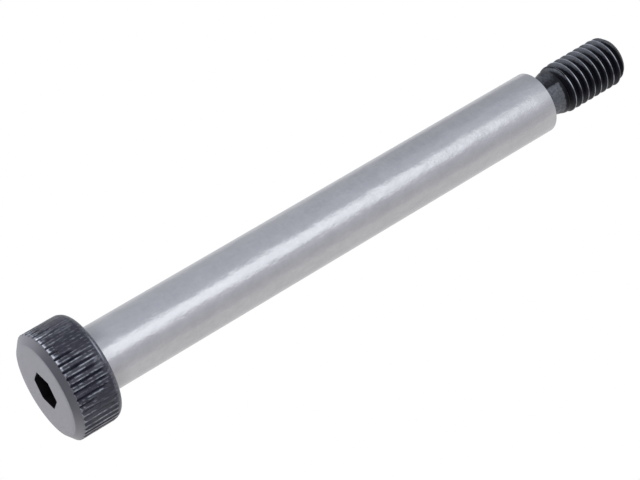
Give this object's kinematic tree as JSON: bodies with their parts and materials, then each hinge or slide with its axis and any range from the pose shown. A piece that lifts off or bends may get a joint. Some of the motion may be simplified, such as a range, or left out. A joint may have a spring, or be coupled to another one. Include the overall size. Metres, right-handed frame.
{
  "type": "shoulder bolt",
  "caption": "Shoulder bolt with a knurled socket head, a long ground shoulder and a short reduced thread, standing on its head.",
  "frame": {"origin": "centre of the head's flat face, where the bolt stands", "axes": "+Z along the bolt's axis from the head to the thread's tip; +X through a corner of the hex socket"},
  "size_m": [0.01, 0.01, 0.064],
  "materials": {
    "bolt_steel": "ground bright shoulder, blackened head, neck and thread"
  },
  "bodies": {
    "root": {"shoulder_bolt": "bolt_steel"}
  },
  "joints": []
}
